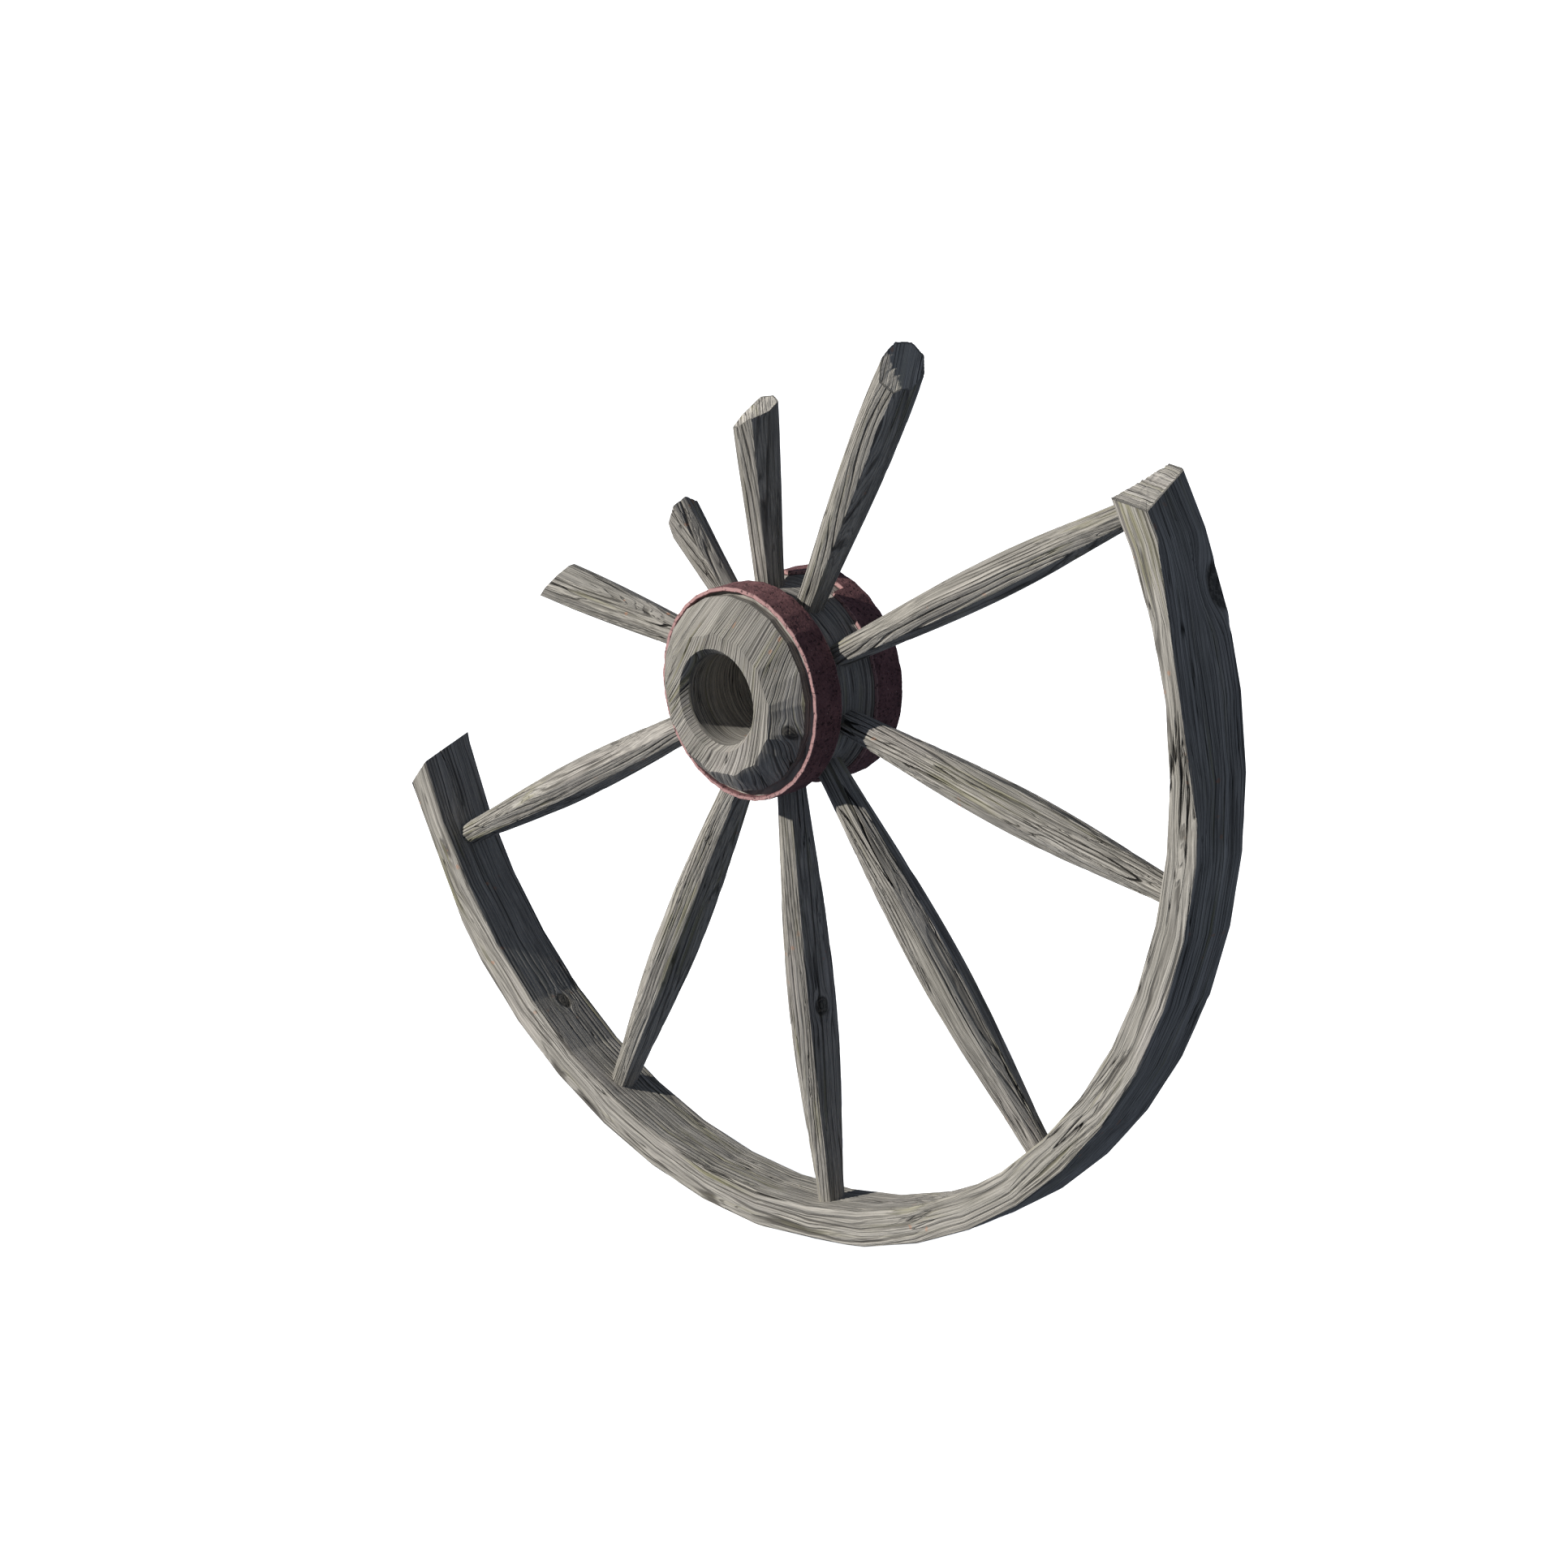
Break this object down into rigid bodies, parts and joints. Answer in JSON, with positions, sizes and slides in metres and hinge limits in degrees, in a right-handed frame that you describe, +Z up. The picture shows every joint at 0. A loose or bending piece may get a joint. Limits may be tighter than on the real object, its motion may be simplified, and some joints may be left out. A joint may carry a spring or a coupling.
{
  "type": "broken wooden cart wheel",
  "caption": "Weathered wooden cart wheel, broken: a banded wooden nave, swelling spokes, some snapped short, and the surviving arc of a plain felloe rim.",
  "frame": {"origin": "wheel centre: on the axis of the nave's bore, midway across the rim", "axes": "+Y along the bore axis towards the vehicle (the wheel's outer face looks along -Y), +Z up, the surviving rim lies below and to both sides"},
  "size_m": [0.9867, 0.164, 0.8411],
  "materials": {
    "nave_wood": "weathered grey, open grain",
    "spoke_wood": "weathered grey, lengthwise checks",
    "felloe_wood": "weathered grey, lengthwise checks",
    "dowel_wood": "plain, sheltered",
    "rusty_iron": "dark red rust, pitted"
  },
  "bodies": {
    "root": {"nave": "nave_wood", "spoke_01": "spoke_wood", "spoke_02": "spoke_wood", "spoke_03": "spoke_wood", "spoke_04": "spoke_wood", "spoke_05": "spoke_wood", "spoke_06": "spoke_wood", "spoke_07_stub": "spoke_wood", "spoke_08_stub": "spoke_wood", "spoke_09_stub": "spoke_wood", "spoke_10_stub": "spoke_wood", "felloe_left": "felloe_wood", "felloe_bottom": "felloe_wood", "felloe_right": "felloe_wood", "felloe_dowel_left": "dowel_wood", "felloe_dowel_right": "dowel_wood", "nave_band_front": "rusty_iron", "nave_band_rear": "rusty_iron"}
  },
  "joints": []
}
